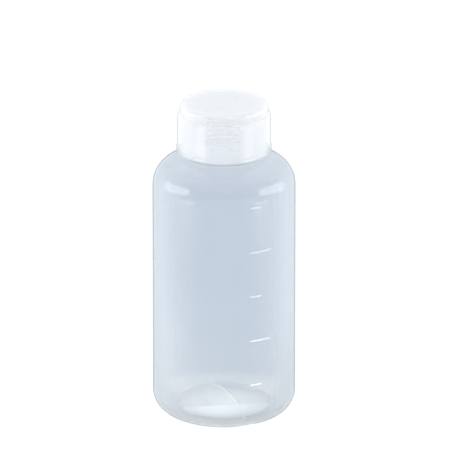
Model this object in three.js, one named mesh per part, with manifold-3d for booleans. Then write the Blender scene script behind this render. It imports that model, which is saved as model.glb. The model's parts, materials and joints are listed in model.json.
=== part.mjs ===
// Reagent bottle with a wide neck: blow-moulded body, captive sealing plug and screw cap.
// Millimetres, +Z up. The origin is at the middle of the standing ring, on the surface it stands on.
// Azimuths are counted from the front (-Y) towards +X.
import * as THREE from 'three';
import { mergeVertices } from 'three/addons/utils/BufferGeometryUtils.js';
import Module from 'manifold-3d';

const wasm = await Module();
wasm.setup();

// Driving dimensions: body
const BODY_RADIUS = 29.7;
const WALL = 1.0;
const HEEL_RADIUS = 9.7;
const SHOULDER_START_Z = 99.9;
const SHOULDER_RADIUS = 12;
const SHOULDER_ARC_DEG = 62;
const FOOT_WIDTH = 1.3;

// Driving dimensions: pushed-up base
const RECESS_EDGE_Z = 3.7;
const DOME_RISE = 2.5;
const BASE_THICKNESS = 1.0;
const RECESS_DRAFT = 0.4;
const RECESS_FILLET = 1.3;
const FOOT_WALL = 1.05;

// Driving dimensions: neck and rim
const NECK_RADIUS = 16.4;
const RIM_RADIUS = 15.9;
const BORE_RADIUS = 14.8;
const NECK_ROOT_Z = 114.6;
const NECK_ROOT_CHAMFER = 1;
const RIM_CHAMFER_Z = 131.2;
const RIM_Z = 133;

// Driving dimensions: screw thread, the same rounded bead on the neck and inside the cap
const PITCH = 3.6;
const BEAD_RADIUS = 0.9;
const NECK_THREAD_START_Z = 118.6;
const NECK_THREAD_TURNS = 2.75;
const CAP_THREAD_START_Z = NECK_THREAD_START_Z + PITCH / 2;
const CAP_THREAD_TURNS = 2.5;

// Driving dimensions: screw cap
const CAP_TOP_Z = 136;
const CAP_BOTTOM_Z = 114.5;
const CAP_TOP_THICKNESS = 1.4;
const CAP_BAND_RADIUS = 18.3;
const CAP_BAND_Z = 131.6;
const CAP_EDGE_RADIUS = 2.5;
const SKIRT_TOP_RADIUS = 19.3;
const SKIRT_BOTTOM_RADIUS = 19.55;
const SKIRT_BORE_RADIUS = 17.7;
const LIP_RADIUS = 19.9;
const LIP_HEIGHT = 2.7;
const SNAP_BEAD_RADIUS = 16.3;
const SNAP_BEAD_Z = 132.4;
const SNAP_BEAD_HALF_HEIGHT = 0.5;
const CAP_CHAMFER = 0.4;

// Driving dimensions: sealing plug
const GAP = 0.3;
const PLUG_FLANGE_RADIUS = 16.9;
const PLUG_FLANGE_THICKNESS = 1.0;
const PLUG_RADIUS = 14.45;
const PLUG_BORE_RADIUS = 13.3;
const PLUG_BOTTOM_Z = 127;
const PLUG_FLOOR_THICKNESS = 1.2;
const PLUG_CHAMFER = 0.6;

// Driving dimensions: graduation marks and heel notch
const PARTING_DEG = 21.6;
const MARK_FIRST_Z = 20.9;
const MARK_STEP = 19.5;
const MARK_HEIGHT = 0.6;
const MARK_PROUD = 0.4;
const SHORT_MARK_DEG = 9.6;
const LONG_MARK_DEG = 18.6;
const MARK_SPANS = [SHORT_MARK_DEG, LONG_MARK_DEG, SHORT_MARK_DEG, LONG_MARK_DEG, SHORT_MARK_DEG];
const NOTCH_DEG = 25;
const NOTCH_WIDTH = 12.6;
const NOTCH_DEPTH = 1.5;
const NOTCH_INNER_END = 15;

// Facet counts
const AROUND = 48;
const BEAD_STEPS_PER_TURN = 32;
const BEAD_SIDES = 4;
const DOME_STEPS = 4;
const FILLET_STEPS = 3;
const HEEL_STEPS = 7;
const SHOULDER_STEPS = 6;
const CAP_EDGE_STEPS = 5;
const MARK_STEPS = 6;
const TROUGH_SIDES = 64;

// Points closer than this are one corner
const MERGE_DISTANCE = 1e-4;

const radians = THREE.MathUtils.degToRad;
const point = (r, z) => new THREE.Vector2(r, z);

// Points of an arc in the profile plane, both ends included.
function arc(r, z, radius, fromDeg, toDeg, steps) {
  const points = [];
  for (let i = 0; i <= steps; i += 1) {
    const angle = radians(fromDeg + (toDeg - fromDeg) * i / steps);
    points.push(point(r + radius * Math.cos(angle), z + radius * Math.sin(angle)));
  }
  return points;
}

// A closed three.js geometry as a solid that can be joined and cut.
function toSolid(geometry) {
  geometry.deleteAttribute('normal');
  geometry.deleteAttribute('uv');
  const merged = mergeVertices(geometry, MERGE_DISTANCE);
  const corners = merged.index.array;
  const triangles = [];
  for (let i = 0; i < corners.length; i += 3) {
    const [a, b, c] = corners.slice(i, i + 3);
    if (a !== b && b !== c && c !== a) {
      triangles.push(a, b, c);
    }
  }
  const vertProperties = new Float32Array(merged.attributes.position.array);
  const triVerts = new Uint32Array(triangles);
  return new wasm.Manifold(new wasm.Mesh({ numProp: 3, vertProperties, triVerts }));
}

// A profile of radius and height, turned round the Z axis.
function turned(profile) {
  const geometry = new THREE.LatheGeometry(profile, AROUND);
  geometry.rotateX(Math.PI / 2);
  return toSolid(geometry);
}

class Helix extends THREE.Curve {
  constructor(radius, startZ, turns, startDeg) {
    super();
    this.radius = radius;
    this.startZ = startZ;
    this.turns = turns;
    this.start = radians(startDeg - 90);
  }

  getPoint(t, target = new THREE.Vector3()) {
    const angle = this.start + 2 * Math.PI * this.turns * t;
    const x = this.radius * Math.cos(angle);
    const y = this.radius * Math.sin(angle);
    return target.set(x, y, this.startZ + PITCH * this.turns * t);
  }
}

// The rounded, right-handed thread bead, centred on the wall it stands on.
function threadBead(radius, startZ, turns, startDeg) {
  const section = new THREE.Shape();
  section.absarc(0, 0, BEAD_RADIUS, 0, 2 * Math.PI);
  const geometry = new THREE.ExtrudeGeometry(section, {
    steps: Math.round(BEAD_STEPS_PER_TURN * turns),
    curveSegments: BEAD_SIDES,
    bevelEnabled: false,
    extrudePath: new Helix(radius, startZ, turns, startDeg),
  });
  return toSolid(geometry);
}

// Base, heel, wall and shoulder, moved inwards by an inset: 0 for the outside, WALL for the inside.
function bodyProfile(inset) {
  const footOuter = BODY_RADIUS - HEEL_RADIUS;
  const recess = footOuter - FOOT_WIDTH;
  const floor = inset > 0 ? BASE_THICKNESS : 0;
  const recessTop = recess - RECESS_DRAFT + inset;
  const edgeZ = RECESS_EDGE_Z + floor;
  const domeRadius = recessTop - RECESS_FILLET;
  const footInner = recess + (inset > 0 ? FOOT_WALL : 0);
  const shoulder = BODY_RADIUS - SHOULDER_RADIUS;
  const points = [];
  for (let i = 0; i < DOME_STEPS; i += 1) {
    const part = i / DOME_STEPS;
    points.push(point(domeRadius * part, edgeZ + DOME_RISE * (1 - part * part)));
  }
  points.push(...arc(domeRadius, edgeZ - RECESS_FILLET, RECESS_FILLET, 90, 0, FILLET_STEPS));
  points.push(point(footInner, floor));
  points.push(...arc(footOuter, HEEL_RADIUS, HEEL_RADIUS - inset, -90, 0, HEEL_STEPS));
  const shoulderArc = SHOULDER_RADIUS - inset;
  points.push(...arc(shoulder, SHOULDER_START_Z, shoulderArc, 0, SHOULDER_ARC_DEG, SHOULDER_STEPS));
  return points;
}

// Where the cone above the shoulder arc reaches a given radius.
function coneHeight(inset, radius) {
  const angle = radians(SHOULDER_ARC_DEG);
  const arcRadius = SHOULDER_RADIUS - inset;
  const endRadius = BODY_RADIUS - SHOULDER_RADIUS + arcRadius * Math.cos(angle);
  const endZ = SHOULDER_START_Z + arcRadius * Math.sin(angle);
  return endZ + (endRadius - radius) / Math.tan(angle);
}

function graduationMark(z, spanDeg) {
  const from = radians(PARTING_DEG - 90);
  const to = from + radians(spanDeg);
  const outline = new THREE.Shape();
  outline.absarc(0, 0, BODY_RADIUS + MARK_PROUD, from, to, false);
  outline.absarc(0, 0, BODY_RADIUS - WALL / 2, to, from, true);
  const geometry = new THREE.ExtrudeGeometry(outline, {
    depth: MARK_HEIGHT,
    curveSegments: MARK_STEPS,
    bevelEnabled: false,
  });
  geometry.translate(0, 0, z - MARK_HEIGHT / 2);
  return toSolid(geometry);
}

// A lying cylinder whose upper side is the trough of the heel notch, raised by an inset.
function notchTrough(inset) {
  const trough = (NOTCH_WIDTH * NOTCH_WIDTH / 4 + NOTCH_DEPTH * NOTCH_DEPTH) / (2 * NOTCH_DEPTH);
  const length = BODY_RADIUS + WALL - NOTCH_INNER_END;
  const radius = trough + inset;
  const geometry = new THREE.CylinderGeometry(radius, radius, length, TROUGH_SIDES);
  geometry.translate(0, -(NOTCH_INNER_END + length / 2), NOTCH_DEPTH - trough);
  geometry.rotateZ(radians(NOTCH_DEG));
  return toSolid(geometry);
}

function bottleSolid() {
  const rootRadius = NECK_RADIUS + NECK_ROOT_CHAMFER;
  const outside = [
    ...bodyProfile(0),
    point(rootRadius, coneHeight(0, rootRadius)),
    point(NECK_RADIUS, NECK_ROOT_Z),
    point(NECK_RADIUS, RIM_CHAMFER_Z),
    point(RIM_RADIUS, RIM_CHAMFER_Z + NECK_RADIUS - RIM_RADIUS),
    point(RIM_RADIUS, RIM_Z),
    point(0, RIM_Z),
  ];
  const inside = [
    ...bodyProfile(WALL),
    point(BORE_RADIUS, coneHeight(WALL, BORE_RADIUS)),
    point(BORE_RADIUS, RIM_Z + WALL),
    point(0, RIM_Z + WALL),
  ];
  const thread = threadBead(NECK_RADIUS, NECK_THREAD_START_Z, NECK_THREAD_TURNS, 0);
  const cavity = turned(inside).subtract(notchTrough(WALL));
  let solid = turned(outside).subtract(notchTrough(0)).add(thread);
  MARK_SPANS.forEach((spanDeg, i) => {
    solid = solid.add(graduationMark(MARK_FIRST_Z + i * MARK_STEP, spanDeg));
  });
  return solid.subtract(cavity);
}

function plugSolid() {
  const flangeBottom = RIM_Z + GAP;
  const flangeTop = flangeBottom + PLUG_FLANGE_THICKNESS;
  const chamfer = PLUG_CHAMFER;
  return turned([
    point(0, PLUG_BOTTOM_Z),
    point(PLUG_RADIUS - chamfer, PLUG_BOTTOM_Z),
    point(PLUG_RADIUS, PLUG_BOTTOM_Z + chamfer),
    point(PLUG_RADIUS, flangeBottom),
    point(PLUG_FLANGE_RADIUS, flangeBottom),
    point(PLUG_FLANGE_RADIUS, flangeTop),
    point(PLUG_BORE_RADIUS, flangeTop),
    point(PLUG_BORE_RADIUS, PLUG_BOTTOM_Z + PLUG_FLOOR_THICKNESS + chamfer),
    point(PLUG_BORE_RADIUS - chamfer, PLUG_BOTTOM_Z + PLUG_FLOOR_THICKNESS),
    point(0, PLUG_BOTTOM_Z + PLUG_FLOOR_THICKNESS),
  ]);
}

function capSolid() {
  const lipTop = CAP_BOTTOM_Z + LIP_HEIGHT;
  const edge = CAP_CHAMFER;
  const underside = CAP_TOP_Z - CAP_TOP_THICKNESS;
  const roundRadius = CAP_BAND_RADIUS - CAP_EDGE_RADIUS;
  const shell = turned([
    point(0, underside),
    point(SKIRT_BORE_RADIUS - edge, underside),
    point(SKIRT_BORE_RADIUS, underside - edge),
    point(SKIRT_BORE_RADIUS, SNAP_BEAD_Z + 2 * SNAP_BEAD_HALF_HEIGHT),
    point(SNAP_BEAD_RADIUS, SNAP_BEAD_Z + SNAP_BEAD_HALF_HEIGHT),
    point(SNAP_BEAD_RADIUS, SNAP_BEAD_Z),
    point(SKIRT_BORE_RADIUS, SNAP_BEAD_Z - 2 * SNAP_BEAD_HALF_HEIGHT),
    point(SKIRT_BORE_RADIUS, CAP_BOTTOM_Z + edge),
    point(SKIRT_BORE_RADIUS + edge, CAP_BOTTOM_Z),
    point(LIP_RADIUS - edge, CAP_BOTTOM_Z),
    point(LIP_RADIUS, CAP_BOTTOM_Z + edge),
    point(LIP_RADIUS, lipTop),
    point(SKIRT_BOTTOM_RADIUS, lipTop + edge),
    point(SKIRT_TOP_RADIUS, CAP_BAND_Z - edge),
    point(SKIRT_TOP_RADIUS - edge, CAP_BAND_Z),
    point(CAP_BAND_RADIUS, CAP_BAND_Z),
    ...arc(roundRadius, CAP_TOP_Z - CAP_EDGE_RADIUS, CAP_EDGE_RADIUS, 0, 90, CAP_EDGE_STEPS),
    point(0, CAP_TOP_Z),
  ]);
  return shell.add(threadBead(SKIRT_BORE_RADIUS, CAP_THREAD_START_Z, CAP_THREAD_TURNS, 0));
}

function part(name, solid, color, roughness) {
  const { numProp, vertProperties, triVerts } = solid.getMesh();
  const geometry = new THREE.BufferGeometry();
  geometry.setAttribute('position', new THREE.BufferAttribute(vertProperties, numProp));
  geometry.setIndex(new THREE.BufferAttribute(triVerts, 1));
  geometry.computeVertexNormals();
  const material = new THREE.MeshStandardMaterial({
    color,
    roughness,
    metalness: 0,
    transparent: true,
    opacity: 0.6,
  });
  const mesh = new THREE.Mesh(geometry, material);
  mesh.name = name;
  return mesh;
}

const group = new THREE.Group();
group.add(part('bottle', bottleSolid(), 0xd0dbe6, 0.35));
group.add(part('inner_plug', plugSolid(), 0xe9eef2, 0.4));
group.add(part('screw_cap', capSolid(), 0xf2f5f8, 0.3));

export default group;
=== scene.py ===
import json
import math

import bmesh
import bpy
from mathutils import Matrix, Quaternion, Vector

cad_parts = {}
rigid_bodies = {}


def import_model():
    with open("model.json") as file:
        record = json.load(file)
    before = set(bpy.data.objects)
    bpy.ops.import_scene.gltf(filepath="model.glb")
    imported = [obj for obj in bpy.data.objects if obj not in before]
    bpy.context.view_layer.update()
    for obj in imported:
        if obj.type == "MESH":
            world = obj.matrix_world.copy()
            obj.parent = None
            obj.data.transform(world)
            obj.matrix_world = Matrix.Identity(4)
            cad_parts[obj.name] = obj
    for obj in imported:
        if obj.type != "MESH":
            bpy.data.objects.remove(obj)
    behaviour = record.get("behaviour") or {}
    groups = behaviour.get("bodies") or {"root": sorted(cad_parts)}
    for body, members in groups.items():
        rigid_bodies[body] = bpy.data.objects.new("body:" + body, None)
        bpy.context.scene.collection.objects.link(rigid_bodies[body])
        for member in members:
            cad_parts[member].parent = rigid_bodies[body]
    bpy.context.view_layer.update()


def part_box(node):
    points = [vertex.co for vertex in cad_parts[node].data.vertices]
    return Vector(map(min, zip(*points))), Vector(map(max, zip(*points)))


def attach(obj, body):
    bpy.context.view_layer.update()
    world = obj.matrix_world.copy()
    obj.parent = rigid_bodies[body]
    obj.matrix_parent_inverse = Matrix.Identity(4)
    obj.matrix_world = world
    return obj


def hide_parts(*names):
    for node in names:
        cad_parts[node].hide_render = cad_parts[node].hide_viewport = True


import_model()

# A wide-neck reagent bottle: blown body and screw cap in natural polypropylene, and a sealing plug in
# soft polyethylene.
# Metres, +Z up, the bottle's axis on Z. Azimuths are counted from the front (-Y) towards +X, in degrees.
MM = 0.001

# Sizes that come from the frame
BODY_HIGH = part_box("bottle")[1]
PLUG_LOW, PLUG_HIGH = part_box("inner_plug")
CAP_LOW, CAP_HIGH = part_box("screw_cap")
BODY_RADIUS = BODY_HIGH.x
LIP_RADIUS = CAP_HIGH.x

# Fineness of the meshes
AROUND = 256
PLUG_AROUND = 160
FINE_STEP = 0.28 * MM
DOME_STEPS = 24
RECESS_STEPS = 8
HEEL_STEPS = 28
SHOULDER_STEPS = 22
CAP_EDGE_STEPS = 14

# Body
WALL = 1.0 * MM
HEEL_RADIUS = 9.7 * MM
FOOT_WIDTH = 1.3 * MM
FOOT_FILLET = 0.45 * MM
SHOULDER_RADIUS = 12 * MM
SHOULDER_START = 99.9 * MM
SHOULDER_ARC = 62
FOOT_RADIUS = BODY_RADIUS - HEEL_RADIUS

# Pushed-up base. The inside corner of the foot is set out by RECESS_SPREAD times the wall.
RECESS_RADIUS = FOOT_RADIUS - FOOT_WIDTH
RECESS_EDGE = 3.7 * MM
RECESS_DRAFT = 0.4 * MM
RECESS_FILLET = 1.3 * MM
RECESS_SPREAD = 1.05
DOME_RISE = 2.5 * MM
BASE_TOP = 12 * MM

# Weld across the base, left by the two halves of the mould, and the notch through the heel
PARTING = 21.6
WELD_HEIGHT = 0.35 * MM
WELD_HALF_WIDTH = 0.9 * MM
WELD_SIDE = 1.2 * MM
WELD_FADE = 1.5 * MM
NOTCH_AZIMUTH = 25
NOTCH_HALF_WIDTH = 6.3 * MM
NOTCH_DEPTH = 1.5 * MM
NOTCH_START = 15 * MM
NOTCH_SWING = 60
NOTCH_SOFTNESS = 0.22 * MM

# Neck
NECK_RADIUS = 16.4 * MM
RIM_RADIUS = 15.9 * MM
BORE_RADIUS = 14.8 * MM
NECK_ROOT = 114.6 * MM
NECK_FILLET = 1.2 * MM
BORE_FILLET = 0.5 * MM
RIM_CHAMFER = 131.2 * MM
RIM = BODY_HIGH.z

# Thread, the same rounded bead outside the neck and inside the cap. Run-out is in turns.
PITCH = 3.6 * MM
BEAD_HEIGHT = 0.9 * MM
BEAD_HALF_WIDTH = 0.95 * MM
RUN_OUT = 0.12
RUN_OUT_SOFTNESS = 0.2
NECK_THREAD_START = 118.6 * MM
NECK_THREAD_TURNS = 2.75
CAP_THREAD_START = NECK_THREAD_START + PITCH / 2
CAP_THREAD_TURNS = 2.5
ON_WALL = 0.02 * MM

# Screw cap
CAP_TOP = CAP_HIGH.z
CAP_BOTTOM = CAP_LOW.z
CAP_TOP_THICKNESS = 1.4 * MM
CAP_EDGE = 2.5 * MM
CAP_FILLET = 0.4 * MM
CAP_STEP = 2 * MM
BAND_RADIUS = 18.3 * MM
BAND_BOTTOM = 131.6 * MM
SKIRT_TOP_RADIUS = 19.3 * MM
SKIRT_BOTTOM_RADIUS = 19.55 * MM
SKIRT_BORE = 17.7 * MM
SKIRT_MOUTH = 0.6 * MM
LIP_HEIGHT = 2.7 * MM
LIP_CHAMFER = 0.35 * MM

# Bead inside the cap that catches the plug's flange
SNAP_RADIUS = 16.3 * MM
SNAP_HEIGHT = 132.4 * MM
SNAP_HALF = 0.5 * MM

# Sealing plug
PLUG_FLANGE = 1.0 * MM
PLUG_RADIUS = 14.45 * MM
PLUG_BORE = 13.3 * MM
PLUG_FLOOR = 1.2 * MM
PLUG_OUTER_FILLET = 0.35 * MM
PLUG_INNER_FILLET = 0.45 * MM
PLUG_STEP = 3 * MM

# Graduation marks. Their lengths are in degrees.
MARK_FIRST = 20.9 * MM
MARK_STEP = 19.5 * MM
MARK_COUNT = 5
MARK_HALF_HEIGHT = 0.32 * MM
MARK_PROUD = 0.4 * MM
SHORT_MARK = 9.6
LONG_MARK = 18.6
MARK_AROUND = 12
MARK_ALONG = 48
MARK_TAPER_POWER = 14
MARK_TIP = 0.02


# ---------------------------------------------------------------- profiles

def arc(r, z, radius, start, end, steps):
    """Points of an arc in the profile plane, radius and height, both ends included."""
    points = []
    for i in range(steps + 1):
        angle = math.radians(start + (end - start) * i / steps)
        points.append((r + radius * math.cos(angle), z + radius * math.sin(angle)))
    return points


def rounded(points, radius, steps=4, most=0.45):
    """The open outline with each inner corner turned into a small curve, which takes up no more than the
    given share of the lines beside it."""
    out = [points[0]]
    for before, corner, after in zip(points, points[1:], points[2:]):
        b, c, a = Vector(before), Vector(corner), Vector(after)
        reach = min(radius, (b - c).length * most, (a - c).length * most)
        first = c + (b - c).normalized() * reach
        last = c + (a - c).normalized() * reach
        for i in range(steps + 1):
            t = i / steps
            p = first * (1 - t) ** 2 + c * 2 * t * (1 - t) + last * t * t
            out.append((p.x, p.y))
    out.append(points[-1])
    return out


def divided(points, step):
    """The outline with long straight stretches cut into pieces no longer than step."""
    out = [points[0]]
    for before, after in zip(points, points[1:]):
        b, a = Vector(before), Vector(after)
        count = max(1, math.ceil((a - b).length / step))
        for i in range(1, count + 1):
            p = b.lerp(a, i / count)
            out.append((p.x, p.y))
    return out


# ---------------------------------------------------------------- turned shells

def linked(name, data):
    """A new object in the scene."""
    made = bpy.data.objects.new(name, data)
    bpy.context.scene.collection.objects.link(made)
    return made


def turned(name, outer, inner, around, lift=None, wall=None):
    """A shell from two outlines: outer runs from the axis to where inner starts, and inner ends on the
    axis. lift(r, z, azimuth, inside) raises a point, and wall(r, z, inside) says where a thread may
    stand."""
    build = bmesh.new()
    thread_wall = build.verts.layers.float.new("thread_wall")
    outer_wall = build.verts.layers.float.new("outer_wall")
    rings = []
    for inside, outline in ((False, outer), (True, inner)):
        for r, z in outline:
            ring = []
            on_axis = r < 0.001 * MM
            for i in range(1 if on_axis else around):
                azimuth = 360 * i / around
                a = math.radians(azimuth)
                height = z + lift(r, z, azimuth, inside) if lift else z
                vert = build.verts.new((r * math.sin(a), -r * math.cos(a), height))
                vert[thread_wall] = 1.0 if wall and wall(r, z, inside) else 0.0
                vert[outer_wall] = 0.0 if inside else 1.0
                ring.append(vert)
            rings.append(ring)
    for lower, upper in zip(rings, rings[1:]):
        for i in range(around):
            j = (i + 1) % around
            if len(lower) == 1:
                build.faces.new((lower[0], upper[j], upper[i]))
            elif len(upper) == 1:
                build.faces.new((lower[i], lower[j], upper[0]))
            else:
                build.faces.new((lower[i], lower[j], upper[j], upper[i]))
    bmesh.ops.recalc_face_normals(build, faces=build.faces)
    for face in build.faces:
        face.smooth = True
    mesh = bpy.data.meshes.new(name)
    build.to_mesh(mesh)
    build.free()
    return linked(name, mesh)


# ---------------------------------------------------------------- node helpers

class Nodes:
    """Shorthands for a node tree. Wherever a value is asked for, a socket does as well."""

    def __init__(self, tree):
        self.tree = tree

    def node(self, kind, settings=None, **values):
        """A new node. Each name in values is an input's name, with _ for a space."""
        made = self.tree.nodes.new(kind)
        for key, value in (settings or {}).items():
            setattr(made, key, value)
        for key, value in values.items():
            self.feed(made.inputs[key.replace("_", " ")], value)
        return made

    def feed(self, socket, value):
        if isinstance(value, bpy.types.NodeSocket):
            self.tree.links.new(value, socket)
        else:
            socket.default_value = value

    def math(self, operation, *values):
        made = self.node("ShaderNodeMath", {"operation": operation})
        for socket, value in zip(made.inputs, values):
            self.feed(socket, value)
        return made.outputs[0]

    def less(self, value, taken):
        return self.math("SUBTRACT", value, taken)

    def over(self, value, divisor):
        return self.math("DIVIDE", value, divisor)

    def combined(self, operation, values):
        total = values[0]
        for value in values[1:]:
            total = self.math(operation, total, value)
        return total

    def added(self, *values):
        return self.combined("ADD", values)

    def times(self, *values):
        return self.combined("MULTIPLY", values)

    def greatest(self, *values):
        return self.combined("MAXIMUM", values)

    def length(self, *parts):
        """The length of a vector given by its parts."""
        return self.math("SQRT", self.added(*[self.times(part, part) for part in parts]))

    def ranged(self, value, span, low, high, kind="LINEAR"):
        """low where the value is at the start of the span, high where it is at the end."""
        made = self.node("ShaderNodeMapRange", {"interpolation_type": kind}, Value=value,
                         From_Min=span[0], From_Max=span[1], To_Min=low, To_Max=high)
        return made.outputs[0]

    def rising(self, value, span):
        """0 before the span, 1 after it, and a smooth step between."""
        return self.ranged(value, span, 0.0, 1.0, "SMOOTHSTEP")

    def fading(self, value, span):
        """1 before the span, 0 after it, and a smooth step between."""
        return self.ranged(value, span, 1.0, 0.0, "SMOOTHSTEP")


class Growth(Nodes):
    """A geometry node tree with named inputs."""

    def __init__(self, name, inputs, takes_mesh=True):
        super().__init__(bpy.data.node_groups.new(name, "GeometryNodeTree"))
        face = self.tree.interface
        self.ids = {}
        if takes_mesh:
            face.new_socket("Geometry", in_out="INPUT", socket_type="NodeSocketGeometry")
        for key, kind in inputs:
            socket = face.new_socket(key, in_out="INPUT", socket_type="NodeSocket" + kind)
            self.ids[key] = socket.identifier
        face.new_socket("Geometry", in_out="OUTPUT", socket_type="NodeSocketGeometry")
        self.source = self.node("NodeGroupInput")
        self.target = self.node("NodeGroupOutput")

    def given(self, key):
        return self.source.outputs[key]

    def finish(self, geometry):
        self.feed(self.target.inputs[0], geometry)
        return self


def grown(piece, growth, values):
    """The piece after the growth, as a plain mesh with the modifier gone."""
    modifier = piece.modifiers.new(growth.tree.name, "NODES")
    modifier.node_group = growth.tree
    for key, value in values.items():
        modifier[growth.ids[key]] = value
    bpy.context.view_layer.update()
    evaluated = piece.evaluated_get(bpy.context.evaluated_depsgraph_get())
    plain = bpy.data.meshes.new_from_object(evaluated)
    piece.modifiers.remove(modifier)
    old = piece.data
    piece.data = plain
    plain.name = piece.name
    bpy.data.meshes.remove(old)
    return piece


# ---------------------------------------------------------------- thread and marks

def thread_growth():
    """Raises a right-handed screw thread out of the points marked thread_wall. A negative height
    raises it towards the axis. Both ends of the thread run out smoothly."""
    tree = Growth("screw_thread", [("Start", "Float"), ("Pitch", "Float"), ("Turns", "Float"),
                                   ("Height", "Float"), ("Half Width", "Float"), ("Run Out", "Float")])
    pitch = tree.given("Pitch")
    place = tree.node("GeometryNodeInputPosition").outputs[0]
    x, y, z = tree.node("ShaderNodeSeparateXYZ", Vector=place).outputs
    turn = tree.over(tree.math("ARCTAN2", x, tree.times(y, -1.0)), 2 * math.pi)
    risen = tree.over(tree.less(z, tree.given("Start")), pitch)
    offset = tree.less(risen, turn)
    whole = tree.math("ROUND", offset)
    away = tree.times(tree.less(offset, whole), pitch)
    share = tree.over(away, tree.given("Half Width"))
    bead = tree.greatest(tree.less(1.0, tree.times(share, share)), 0.0)
    along = tree.added(whole, turn)
    before = tree.over(along, tree.given("Run Out"))
    after = tree.over(tree.less(tree.given("Turns"), along), tree.given("Run Out"))
    ends = tree.math("MINIMUM", tree.math("MINIMUM", before, after), 1.0)
    ends = tree.math("SMOOTH_MIN", tree.greatest(ends, 0.0), 1.0, RUN_OUT_SOFTNESS)
    wall = tree.node("GeometryNodeInputNamedAttribute", {"data_type": "FLOAT"}, Name="thread_wall")
    lift = tree.times(bead, ends, wall.outputs[0], tree.given("Height"))
    flat = tree.node("ShaderNodeCombineXYZ", X=x, Y=y)
    outward = tree.node("ShaderNodeVectorMath", {"operation": "NORMALIZE"}, Vector=flat.outputs[0])
    moved = tree.node("ShaderNodeVectorMath", {"operation": "SCALE"}, Vector=outward.outputs[0], Scale=lift)
    put = tree.node("GeometryNodeSetPosition", Geometry=tree.given("Geometry"), Offset=moved.outputs[0])
    return tree.finish(put.outputs[0])


def marks_growth(material):
    """Raised graduation lines: arcs on the wall, one above the other, short and long by turns."""
    tree = Growth("graduation_marks", [("Radius", "Float"), ("First", "Float"), ("Step", "Float"),
                                       ("Count", "Int"), ("From", "Float"), ("Short", "Float"),
                                       ("Long", "Float"), ("Half Height", "Float")], takes_mesh=False)
    section = tree.node("GeometryNodeCurvePrimitiveCircle", Resolution=MARK_AROUND,
                        Radius=tree.given("Half Height"))
    factor = tree.node("GeometryNodeSplineParameter").outputs["Factor"]
    middle = tree.math("ABSOLUTE", tree.less(tree.times(factor, 2.0), 1.0))
    full = tree.less(1.0, tree.math("POWER", middle, MARK_TAPER_POWER))
    taper = tree.math("SQRT", tree.greatest(full, MARK_TIP))
    kinds = tree.node("GeometryNodeJoinGeometry")
    for key in ("Long", "Short"):
        line = tree.node("GeometryNodeCurveArc", Resolution=MARK_ALONG, Radius=tree.given("Radius"),
                         Start_Angle=tree.given("From"), Sweep_Angle=tree.given(key))
        bead = tree.node("GeometryNodeCurveToMesh", Curve=line.outputs[0], Profile_Curve=section.outputs[0],
                         Scale=taper, Fill_Caps=True)
        kind = tree.node("GeometryNodeGeometryToInstance", Geometry=bead.outputs[0])
        tree.feed(kinds.inputs[0], kind.outputs[0])
    base = tree.node("ShaderNodeCombineXYZ", Z=tree.given("First"))
    up = tree.node("ShaderNodeCombineXYZ", Z=tree.given("Step"))
    rows = tree.node("GeometryNodeMeshLine", Count=tree.given("Count"),
                     Start_Location=base.outputs[0], Offset=up.outputs[0])
    index = tree.node("GeometryNodeInputIndex").outputs[0]
    placed = tree.node("GeometryNodeInstanceOnPoints", Points=rows.outputs[0], Instance=kinds.outputs[0],
                       Pick_Instance=True, Instance_Index=tree.math("MODULO", index, 2.0))
    real = tree.node("GeometryNodeRealizeInstances", Geometry=placed.outputs[0])
    smooth = tree.node("GeometryNodeSetShadeSmooth", Geometry=real.outputs[0])
    skin = tree.node("GeometryNodeSetMaterial", Geometry=smooth.outputs[0], Material=material)
    return tree.finish(skin.outputs[0])


# ---------------------------------------------------------------- bottle

def body_outline(inset):
    """Base, heel, wall and shoulder: inset is 0 for the outside and WALL for the inside."""
    edge = RECESS_EDGE + inset
    dome = RECESS_RADIUS - RECESS_DRAFT + inset - RECESS_FILLET
    points = []
    for i in range(DOME_STEPS):
        part = i / DOME_STEPS
        points.append((dome * part, edge + DOME_RISE * (1 - part * part)))
    points += arc(dome, edge - RECESS_FILLET, RECESS_FILLET, 90, 0, RECESS_STEPS)
    foot_in = (RECESS_RADIUS + inset * RECESS_SPREAD, inset)
    foot_out = (FOOT_RADIUS, inset)
    points += rounded([points[-1], foot_in, foot_out], FOOT_FILLET)[1:]
    points += arc(FOOT_RADIUS, HEEL_RADIUS, HEEL_RADIUS - inset, -90, 0, HEEL_STEPS)[1:]
    points += arc(BODY_RADIUS - SHOULDER_RADIUS, SHOULDER_START, SHOULDER_RADIUS - inset,
                  0, SHOULDER_ARC, SHOULDER_STEPS)
    return points


def cone_height(inset, radius):
    """How high the cone above the shoulder is at a radius."""
    angle = math.radians(SHOULDER_ARC)
    reach = SHOULDER_RADIUS - inset
    end_radius = BODY_RADIUS - SHOULDER_RADIUS + reach * math.cos(angle)
    end_height = SHOULDER_START + reach * math.sin(angle)
    return end_height + (end_radius - radius) / math.tan(angle)


def neck_outside(start):
    """From the shoulder's end up the neck to the rim."""
    rough = [start, (NECK_RADIUS, cone_height(0, NECK_RADIUS)), (NECK_RADIUS, RIM_CHAMFER),
             (RIM_RADIUS, RIM_CHAMFER + NECK_RADIUS - RIM_RADIUS), (RIM_RADIUS, RIM),
             (BORE_RADIUS + WALL / 2, RIM)]
    return divided(rounded(rough, NECK_FILLET), FINE_STEP)[1:]


def neck_inside(end):
    """From the rim down the bore to the shoulder's inside."""
    rough = [(BORE_RADIUS + WALL / 2, RIM), (BORE_RADIUS, RIM),
             (BORE_RADIUS, cone_height(WALL, BORE_RADIUS)), end]
    return rounded(rough, BORE_FILLET)[1:-1]


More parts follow.
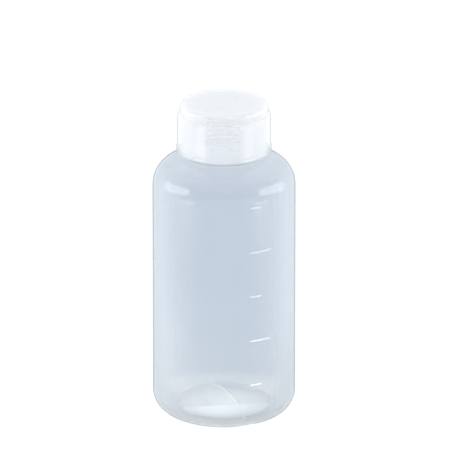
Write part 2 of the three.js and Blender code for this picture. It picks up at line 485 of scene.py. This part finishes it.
def notch_lift(r, z, azimuth, inside):
    """How far the notch raises a point of the heel. The notch's floor is a shallow round trough, and
    meets the heel in a soft edge."""
    swing = (azimuth - NOTCH_AZIMUTH + 180) % 360 - 180
    if r < NOTCH_START or z > BASE_TOP or abs(swing) > NOTCH_SWING:
        return 0
    across = r * math.sin(math.radians(swing))
    trough = (NOTCH_HALF_WIDTH ** 2 + NOTCH_DEPTH ** 2) / (2 * NOTCH_DEPTH)
    floor = NOTCH_DEPTH - across ** 2 / (2 * trough) + (WALL if inside else 0)
    return NOTCH_SOFTNESS * math.log1p(math.exp((floor - z) / NOTCH_SOFTNESS))


def weld_lift(r, z, azimuth, inside):
    """How far the weld moves a point of the base. It runs beside the parting plane and thickens the
    wall both ways."""
    if r >= RECESS_RADIUS or z >= BASE_TOP:
        return 0
    across = r * math.sin(math.radians(azimuth - PARTING)) - WELD_SIDE
    fade = min(1, (RECESS_RADIUS - r) / WELD_FADE)
    ridge = WELD_HEIGHT * math.exp(-(across / WELD_HALF_WIDTH) ** 2) * fade
    return ridge if inside else -ridge


def base_lift(r, z, azimuth, inside):
    """What takes the blown shell off the round."""
    return notch_lift(r, z, azimuth, inside) + weld_lift(r, z, azimuth, inside)


def on_neck(r, z, inside):
    """Where the neck's thread may stand."""
    return not inside and abs(r - NECK_RADIUS) < ON_WALL and NECK_ROOT < z < RIM_CHAMFER


def make_bottle(thread):
    outside = body_outline(0)
    outside += neck_outside(outside[-1])
    inside = body_outline(WALL)[::-1]
    inside = neck_inside(inside[0]) + inside
    piece = turned("bottle_body", outside, inside, AROUND, base_lift, on_neck)
    return grown(piece, thread, {
        "Start": NECK_THREAD_START, "Pitch": PITCH, "Turns": NECK_THREAD_TURNS,
        "Height": BEAD_HEIGHT, "Half Width": BEAD_HALF_WIDTH, "Run Out": RUN_OUT})


def make_marks(material):
    piece = linked("graduation_marks", bpy.data.meshes.new("graduation_marks"))
    return grown(piece, marks_growth(material), {
        "Radius": BODY_RADIUS + MARK_PROUD - MARK_HALF_HEIGHT, "First": MARK_FIRST, "Step": MARK_STEP,
        "Count": MARK_COUNT, "From": math.radians(PARTING - 90), "Short": math.radians(SHORT_MARK),
        "Long": math.radians(LONG_MARK), "Half Height": MARK_HALF_HEIGHT})


# ---------------------------------------------------------------- plug and cap

def make_plug():
    floor = PLUG_LOW.z + PLUG_FLOOR
    under = PLUG_HIGH.z - PLUG_FLANGE
    outside = rounded([
        (0, PLUG_LOW.z), (PLUG_RADIUS, PLUG_LOW.z), (PLUG_RADIUS, under), (PLUG_HIGH.x, under),
        (PLUG_HIGH.x, PLUG_HIGH.z), (PLUG_RADIUS, PLUG_HIGH.z)], PLUG_OUTER_FILLET)
    inside = rounded([
        (PLUG_RADIUS, PLUG_HIGH.z), (PLUG_BORE, PLUG_HIGH.z), (PLUG_BORE, floor), (0, floor)],
        PLUG_INNER_FILLET)[1:]
    return turned("sealing_plug", divided(outside, PLUG_STEP), divided(inside, PLUG_STEP), PLUG_AROUND)


def in_skirt(r, z, inside):
    """Where the cap's thread may stand."""
    return inside and abs(r - SKIRT_BORE) < ON_WALL and z < SNAP_HEIGHT - 2 * SNAP_HALF


def make_cap(thread):
    lip = CAP_BOTTOM + LIP_HEIGHT
    underside = CAP_TOP - CAP_TOP_THICKNESS
    flat = BAND_RADIUS - CAP_EDGE
    mouth = (SKIRT_BORE + SKIRT_MOUTH, CAP_BOTTOM)
    top = [(0, CAP_TOP)] + arc(flat, CAP_TOP - CAP_EDGE, CAP_EDGE, 90, 0, CAP_EDGE_STEPS)
    outside = top[:-1] + rounded([
        top[-1], (BAND_RADIUS, BAND_BOTTOM), (SKIRT_TOP_RADIUS, BAND_BOTTOM), (SKIRT_BOTTOM_RADIUS, lip),
        (LIP_RADIUS, lip - LIP_CHAMFER), (LIP_RADIUS, CAP_BOTTOM), mouth], CAP_FILLET)
    inside = rounded([
        mouth, (SKIRT_BORE, CAP_BOTTOM + SKIRT_MOUTH), (SKIRT_BORE, SNAP_HEIGHT - 2 * SNAP_HALF),
        (SNAP_RADIUS, SNAP_HEIGHT), (SNAP_RADIUS, SNAP_HEIGHT + SNAP_HALF),
        (SKIRT_BORE, SNAP_HEIGHT + 2 * SNAP_HALF), (SKIRT_BORE, underside), (0, underside)], CAP_FILLET)
    piece = turned("cap_shell", divided(outside, CAP_STEP), divided(inside, FINE_STEP)[1:], AROUND,
                   wall=in_skirt)
    return grown(piece, thread, {
        "Start": CAP_THREAD_START, "Pitch": PITCH, "Turns": CAP_THREAD_TURNS,
        "Height": -BEAD_HEIGHT, "Half Width": BEAD_HALF_WIDTH, "Run Out": RUN_OUT})


# ---------------------------------------------------------------- zones of the blown wall

# Each span is a pair of places that a zone fades in or out between.
# The disc is the pushed-up floor inside the foot.
DISC_BOTTOM = (2.6 * MM, 3.6 * MM)
DISC_TOP = (6.5 * MM, 9 * MM)
DISC_EDGE = (FOOT_RADIUS - 0.6 * MM, FOOT_RADIUS + 0.2 * MM)
DISC_PALE = 0.65
BASE_MILK = 0.15

# The crescent is what lies outside a circle set back and a little to the left.
CRESCENT_SIDE = -3.5 * MM
CRESCENT_BACK = 23.8 * MM
CRESCENT_EDGE = (34.3 * MM, 37.8 * MM)
CRESCENT_MILK = 0.68

# The weld, the fold on its left and the weld's front end on the foot
WELD_EDGE = (0.15 * MM, 0.9 * MM)
WELD_MILK = 0.75
FOLD_FAR_SIDE = (-13 * MM, -0.3 * MM)
FOLD_NEAR_SIDE = (-0.3 * MM, 0.6 * MM)
FOLD_MILK = 0.32
END_FRONT = (-17 * MM, -15 * MM)
END_INSIDE = (FOOT_RADIUS, FOOT_RADIUS + 0.6 * MM)
END_BOTTOM = (1.2 * MM, 1.8 * MM)
END_MILK = 0.95

# The front of the heel darkened by painted shade for the shadowed floor seen through it, its pale back, the
# pale wall above it, the lower wall with a veil darkened by painted shade towards the bottom, and the neck
PAINTED_HEEL_SHADE_TOP = (5.5 * MM, 9 * MM)
PAINTED_HEEL_SHADE_FRONT = (-16 * MM, -6 * MM)
PAINTED_HEEL_SHADE_TINT = (0.80, 0.815, 0.825)
BACK_HEEL_TOP = (3 * MM, 7.5 * MM)
BACK_HEEL_DEPTH = (10 * MM, 20 * MM)
BACK_HEEL_PALE = 0.62
PALE_WALL_BOTTOM = (7.5 * MM, 11 * MM)
PALE_WALL_TOP = (17 * MM, 24 * MM)
PALE_WALL_FRONT = (-28 * MM, -12 * MM)
WALL_PALE = 0.5
BASE_TINT = (0.98, 0.972, 0.96)
# Painted shade: the veil darkens towards the bottom of the wall.
PAINTED_LOW_SHADE_TOP = (12 * MM, 50 * MM)
PAINTED_LOW_SHADE_VEIL = (0.865, 0.87, 0.87)
NECK_BOTTOM = (110 * MM, 116 * MM)
NECK_TINT = (0.978, 0.982, 0.987)
NECK_MILK = 0.12

# Share of the veil's light that passes through it, in a thin wall and in the thickest milk
THROUGH_SHARE = 0.5
THICK_THROUGH_SHARE = 0.1


class Skin(Nodes):
    """A material's node tree. Patterns read Object coordinates."""

    def __init__(self, name):
        self.material = bpy.data.materials.new(name)
        self.material.use_nodes = True
        super().__init__(self.material.node_tree)
        self.tree.nodes.clear()
        self.place = self.node("ShaderNodeTexCoord").outputs["Object"]
        self.x, self.y, self.z = self.node("ShaderNodeSeparateXYZ", Vector=self.place).outputs

    def noise(self, size, stretch=(1, 1, 1), detail=2.0):
        """Noise between 0 and 1; stretch scales it along each axis."""
        mapped = self.node("ShaderNodeMapping", Vector=self.place, Scale=stretch)
        made = self.node("ShaderNodeTexNoise", Vector=mapped.outputs[0], Scale=size, Detail=detail)
        return made.outputs["Fac"]

    def spread(self, noise, low, high):
        """The middle part of a noise, spread from low to high."""
        return self.ranged(noise, (0.3, 0.7), low, high)

    def bump(self, height, strength, distance, normal=None):
        made = self.node("ShaderNodeBump", Height=height, Strength=strength, Distance=distance)
        if normal is not None:
            self.feed(made.inputs["Normal"], normal)
        return made.outputs[0]

    def facing(self, **normal):
        """0 where the surface is seen head on, 1 where it is seen edge on."""
        return self.node("ShaderNodeLayerWeight", Blend=0.5, **normal).outputs["Facing"]

    def colour_mix(self, factor, first, second):
        """The first colour turning into the second, which is three numbers."""
        made = self.node("ShaderNodeMix", {"data_type": "RGBA"}, Factor=factor)
        self.feed(made.inputs["A"], first)
        self.feed(made.inputs["B"], (*second, 1))
        return made.outputs["Result"]

    def mixed(self, factor, first, second):
        made = self.node("ShaderNodeMixShader")
        for socket, value in zip(made.inputs, (factor, first, second)):
            self.feed(socket, value)
        return made.outputs[0]

    def finish(self, shader):
        self.node("ShaderNodeOutputMaterial", Surface=shader)
        return self.material


def base_patterns(skin):
    """Where the pushed-up floor is, and the extra milkiness of the base, where the blown wall is
    thickest: a crescent along the front of the floor, the weld across it and down to the foot, and
    the fold on the weld's left."""
    radius = skin.length(skin.x, skin.y)
    low = skin.fading(skin.z, DISC_TOP)
    disc = skin.times(skin.fading(radius, DISC_EDGE), low, skin.rising(skin.z, DISC_BOTTOM))
    hollow = skin.length(skin.less(skin.x, CRESCENT_SIDE), skin.less(skin.y, CRESCENT_BACK))
    crescent = skin.rising(hollow, CRESCENT_EDGE)
    turn = math.radians(PARTING)
    parted = skin.added(skin.times(skin.x, math.cos(turn)), skin.times(skin.y, math.sin(turn)))
    across = skin.less(parted, WELD_SIDE)
    line = skin.fading(skin.math("ABSOLUTE", across), WELD_EDGE)
    fold = skin.times(skin.rising(across, FOLD_FAR_SIDE), skin.fading(across, FOLD_NEAR_SIDE))
    seen = skin.greatest(skin.times(crescent, CRESCENT_MILK), skin.times(line, WELD_MILK),
                         skin.times(fold, FOLD_MILK))
    on_disc = skin.times(skin.added(seen, BASE_MILK), disc)
    at_foot = skin.times(skin.fading(skin.y, END_FRONT), skin.fading(radius, END_INSIDE),
                         skin.rising(skin.z, END_BOTTOM), low)
    return disc, skin.greatest(on_disc, skin.times(line, at_foot, END_MILK))


def blown_wall(skin, milk, veil, tint):
    """The milk, through share, veil and tint of a blown wall, which differ from foot to neck, with painted
    shade on the heel's front and the lower wall.
    """
    disc, pattern = base_patterns(skin)
    high = skin.rising(skin.z, NECK_BOTTOM)
    milk = skin.added(milk, skin.times(high, NECK_MILK), pattern)
    through_share = skin.ranged(pattern, (BASE_MILK, BASE_MILK + CRESCENT_MILK),
                                THROUGH_SHARE, THICK_THROUGH_SHARE)
    # Painted shade: the front of the heel takes a darker tint, for the shadowed floor under the bottle seen
    # through it.
    heel = skin.times(skin.fading(skin.z, PAINTED_HEEL_SHADE_TOP), skin.fading(skin.y, PAINTED_HEEL_SHADE_FRONT))
    back_heel = skin.times(skin.rising(skin.y, BACK_HEEL_DEPTH), skin.fading(skin.z, BACK_HEEL_TOP))
    pale_wall = skin.times(skin.rising(skin.z, PALE_WALL_BOTTOM), skin.fading(skin.z, PALE_WALL_TOP),
                           skin.fading(skin.y, PALE_WALL_FRONT))
    pale = skin.greatest(skin.times(disc, DISC_PALE), skin.times(pale_wall, WALL_PALE),
                         skin.times(back_heel, BACK_HEEL_PALE))
    tint = skin.colour_mix(heel, tint, PAINTED_HEEL_SHADE_TINT)
    tint = skin.colour_mix(pale, tint, BASE_TINT)
    tint = skin.colour_mix(high, tint, NECK_TINT)
    # Painted shade: the veil darkens towards the bottom of the wall, except on the pushed-up floor.
    painted_low_shade = skin.less(skin.fading(skin.z, PAINTED_LOW_SHADE_TOP), disc)
    return milk, through_share, skin.colour_mix(painted_low_shade, veil, PAINTED_LOW_SHADE_VEIL), tint


# ---------------------------------------------------------------- plastics

# Slants, from 0 head on to 1 edge on, that the side milk and the outline of painted edge shade come in
# between
SIDE_SLANT = (0.05, 0.55)
PAINTED_EDGE_SHADE_SLANT = (0.74, 0.93)
# Painted shade: the darker tint and veil of the thin line along the outer wall's edges
PAINTED_EDGE_SHADE_TINT = (0.38, 0.43, 0.49)
PAINTED_EDGE_SHADE_VEIL = (0.62, 0.67, 0.73)
# Height of the painted shadow along a lip's lower edge, where the cap meets the shoulder
PAINTED_LIP_SHADOW_HEIGHT = 0.3 * MM
MOST_MILK = 0.97

# Gloss head on and edge on, how steeply it grows between, and how far the clouds vary its roughness
GLOSS = (0.06, 0.3)
GLOSS_POWER = 5
GLOSS_SPREAD = (0.85, 1.2)
VEIL_ROUGHNESS = 0.6


def outline(skin, facing, painted_shadow_lip_height):
    """Where the painted shade goes: a thin darker line along the edges of the outer wall, and a painted
    shadow at the lip's lower edge if it has one.
    """
    outer_wall = skin.node("ShaderNodeAttribute", {"attribute_name": "outer_wall"}).outputs["Fac"]
    line = skin.times(skin.rising(facing, PAINTED_EDGE_SHADE_SLANT), outer_wall)
    if painted_shadow_lip_height is None:
        return line
    return skin.greatest(line, skin.fading(skin.z, (painted_shadow_lip_height, painted_shadow_lip_height + PAINTED_LIP_SHADOW_HEIGHT)))


def milky_plastic(name, veil, tint, milk, side_milk, gloss_roughness, streak, ripple, blown=False,
                  painted_shadow_lip_height=None):
    """A natural plastic in a thin wall: what is behind shows through a milky veil under a satin
    gloss. side_milk is added where the wall is seen at a slant, and a thin darker line of painted shade
    ends it. A blown wall is clearest between the base and the neck. The last argument is the height of a
    lip's lower edge, where a thin painted shadow darkens it."""
    skin = Skin(name)
    streaks = skin.noise(260, stretch=(1, 1, 0.06))
    clouds = skin.noise(45, stretch=(1, 1, 0.6))
    surface = skin.bump(clouds, ripple, 0.4 * MM)
    surface = skin.bump(skin.noise(900), ripple * 0.1, 0.01 * MM, surface)
    through_share = THROUGH_SHARE
    veil = (*veil, 1)
    tint = (*tint, 1)
    if blown:
        milk, through_share, veil, tint = blown_wall(skin, milk, veil, tint)
    facing = skin.facing()
    thick = skin.added(milk, skin.times(skin.rising(facing, SIDE_SLANT), side_milk))
    flow = skin.spread(streaks, 1 - streak, 1 + streak)
    amount = skin.math("MINIMUM", skin.times(thick, flow), MOST_MILK)
    # Painted shade: the tint and veil darken along the outer wall's edges, and along a lip's lower edge as
    # a painted shadow
    line = outline(skin, facing, painted_shadow_lip_height)
    tint = skin.colour_mix(line, tint, PAINTED_EDGE_SHADE_TINT)
    veil = skin.colour_mix(line, veil, PAINTED_EDGE_SHADE_VEIL)
    clear = skin.node("ShaderNodeBsdfTransparent", Color=tint)
    scatter = skin.node("ShaderNodeBsdfDiffuse", Color=veil, Roughness=VEIL_ROUGHNESS, Normal=surface)
    through = skin.node("ShaderNodeBsdfTranslucent", Color=veil, Normal=surface)
    both = skin.mixed(through_share, scatter.outputs[0], through.outputs[0])
    film = skin.mixed(amount, clear.outputs[0], both)
    roughness = skin.spread(clouds, *[gloss_roughness * share for share in GLOSS_SPREAD])
    gloss = skin.node("ShaderNodeBsdfGlossy", Roughness=roughness, Normal=surface)
    glance = skin.math("POWER", skin.facing(Normal=surface), GLOSS_POWER)
    shine = skin.ranged(glance, (0.0, 1.0), *GLOSS)
    return skin.finish(skin.mixed(shine, film, gloss.outputs[0]))


# ---------------------------------------------------------------- studio and camera

CAMERA_ELEVATION = 20
CAMERA_DISTANCE = 4.0
FRAME_WIDTH = 186.9 * MM
AIM = Vector((0.4 * MM, 0, 81.65 * MM))
SENSOR = 36

# The table and the sky. The spans of the sky are the Z of a direction, 0 at the horizon and 1 overhead.
TABLE_HALF_SIDE = 12
TABLE_COLOUR = (0.25, 0.255, 0.26, 1)
TABLE_LIGHT = (0.97, 0.985, 1, 1)
TABLE_GLOW = 0.85
TABLE_SHEEN = 0.2
SKY_COLOUR = (0.98, 0.99, 1, 1)
SKY = 0.88
SKY_TOP = (0.35, 0.9)
SKY_TOP_BOOST = 0.28
HORIZON = (0.06, 0.2)
HORIZON_GLOW = 0.3

# The lights
SIDE_POWER = 2.8
SIDE_DIFFERENCE = 0.02
LOW_BOX_POWER = 0.03
SNOOT_POWER = 46
SNOOT_COLOUR = (1.0, 0.94, 0.86)
SNOOT_RADIUS = 22 * MM
SNOOT_DISTANCE = 1.0
BOTTLE_MIDDLE = Vector((0, 0, 80 * MM))
CAP_MIDDLE = Vector((0, 0, (CAP_LOW.z + CAP_HIGH.z) / 2))
BASE_SPOT = Vector((3 * MM, -4 * MM, 5 * MM))


def make_camera():
    data = bpy.data.cameras.new("camera")
    data.sensor_width = SENSOR
    data.lens = SENSOR * CAMERA_DISTANCE / FRAME_WIDTH
    data.clip_start = 0.1
    data.clip_end = 50
    camera = linked("camera", data)
    lift = math.radians(CAMERA_ELEVATION)
    back = Vector((0, -math.cos(lift), math.sin(lift)))
    camera.location = AIM + back * CAMERA_DISTANCE
    camera.rotation_euler = (-back).to_track_quat("-Z", "Y").to_euler()
    bpy.context.scene.camera = camera


def table_skin():
    """A light table: matt white acrylic, lit from below."""
    skin = Skin("lit_acrylic")
    grain = skin.noise(900, detail=4.0)
    acrylic = skin.node("ShaderNodeBsdfPrincipled", Roughness=skin.spread(grain, 0.85, 0.95),
                        Base_Color=TABLE_COLOUR, Specular_IOR_Level=TABLE_SHEEN,
                        Emission_Color=TABLE_LIGHT, Emission_Strength=TABLE_GLOW,
                        Normal=skin.bump(grain, 0.05, 0.2 * MM))
    return skin.finish(acrylic.outputs[0])


def make_table():
    mesh = bpy.data.meshes.new("floor")
    a = TABLE_HALF_SIDE
    mesh.from_pydata([(-a, -a, 0), (a, -a, 0), (a, a, 0), (-a, a, 0)], [], [(0, 1, 2, 3)])
    mesh.materials.append(table_skin())
    floor = linked("floor", mesh)


def make_sky():
    """A soft white sky, brighter overhead and near the horizon."""
    world = bpy.data.worlds.new("studio")
    world.use_nodes = True
    sky = Nodes(world.node_tree)
    towards = sky.node("ShaderNodeTexCoord").outputs["Generated"]
    height = sky.node("ShaderNodeSeparateXYZ", Vector=towards).outputs["Z"]
    overhead = sky.times(sky.rising(height, SKY_TOP), SKY_TOP_BOOST)
    level = sky.times(sky.fading(height, HORIZON), HORIZON_GLOW)
    background = world.node_tree.nodes["Background"]
    sky.feed(background.inputs["Color"], SKY_COLOUR)
    sky.feed(background.inputs["Strength"], sky.added(SKY, overhead, level))
    bpy.context.scene.world = world


def light(name, kind, power, azimuth, elevation, distance, aim, roll=0, **settings):
    """A light turned towards its aim and not seen by the camera. The settings are those of its kind."""
    data = bpy.data.lights.new(name, kind)
    data.energy = power
    for key, value in settings.items():
        setattr(data, key, value)
    stand = linked(name, data)
    a, e = math.radians(azimuth), math.radians(elevation)
    away = Vector((math.sin(a) * math.cos(e), -math.cos(a) * math.cos(e), math.sin(e)))
    stand.location = aim + away * distance
    turn = away.to_track_quat("Z", "Y") @ Quaternion((0, 0, 1), math.radians(roll))
    stand.rotation_euler = turn.to_euler()
    stand.visible_camera = False
    return stand


def make_lights():
    """A large and a small box on each side, and a narrow beam on the pushed-up base."""
    for side, turn in (("left", -1), ("right", 1)):
        power = SIDE_POWER * (1 - SIDE_DIFFERENCE * turn)
        light(side + "_softbox", "AREA", power, azimuth=88 * turn, elevation=16, distance=1.0,
              aim=BOTTLE_MIDDLE, roll=-18 * turn, shape="RECTANGLE", size=1.0, size_y=0.42)
        light(side + "_low_box", "AREA", LOW_BOX_POWER, azimuth=60 * turn, elevation=-17, distance=0.34,
              aim=CAP_MIDDLE, shape="RECTANGLE", size=0.14, size_y=0.04)
    snoot = light("base_snoot", "SPOT", SNOOT_POWER, azimuth=-20, elevation=38, distance=SNOOT_DISTANCE,
                  aim=BASE_SPOT, color=SNOOT_COLOUR, spot_blend=0.5, shadow_soft_size=0.02,
                  spot_size=2 * math.atan(SNOOT_RADIUS / SNOOT_DISTANCE))
    snoot.visible_glossy = False


def allow_many_walls():
    """Lets light pass every wall of the bottle, neck, plug and cap in one line."""
    paths = bpy.context.scene.cycles
    paths.max_bounces = 24
    paths.diffuse_bounces = 12
    paths.glossy_bounces = 6
    paths.transmission_bounces = 16
    paths.transparent_max_bounces = 40


# ---------------------------------------------------------------- the object

make_camera()
make_table()
make_sky()
make_lights()
bpy.context.scene.view_settings.view_transform = "Standard"
allow_many_walls()

body_plastic = milky_plastic(
    "blown_polypropylene", veil=(0.94, 0.955, 0.97), tint=(0.825, 0.855, 0.885), milk=0.06,
    side_milk=0.27, gloss_roughness=0.16, streak=0.03, ripple=0.10, blown=True)
mark_plastic = milky_plastic(
    "raised_line_polypropylene", veil=(0.99, 0.995, 1.0), tint=(0.995, 0.998, 1.0), milk=0.9,
    side_milk=0.1, gloss_roughness=0.16, streak=0.05, ripple=0.05)
# The cap's lip gets a painted shadow along its lower edge, where it meets the shoulder.
cap_plastic = milky_plastic(
    "moulded_polypropylene", veil=(0.992, 0.994, 0.998), tint=(0.997, 0.997, 0.998), milk=0.25,
    side_milk=0.3, gloss_roughness=0.16, streak=0.02, ripple=0.02, painted_shadow_lip_height=CAP_BOTTOM)
plug_plastic = milky_plastic(
    "soft_polyethylene", veil=(0.99, 0.992, 0.996), tint=(0.995, 0.995, 0.996), milk=0.35,
    side_milk=0.2, gloss_roughness=0.25, streak=0.04, ripple=0.03)

screw_thread = thread_growth()

bottle = make_bottle(screw_thread)
bottle.data.materials.append(body_plastic)
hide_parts("bottle")
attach(bottle, "bottle")

marks = make_marks(mark_plastic)
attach(marks, "bottle")

plug = make_plug()
plug.data.materials.append(plug_plastic)
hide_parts("inner_plug")
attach(plug, "plug")

cap = make_cap(screw_thread)
cap.data.materials.append(cap_plastic)
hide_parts("screw_cap")
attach(cap, "cap")
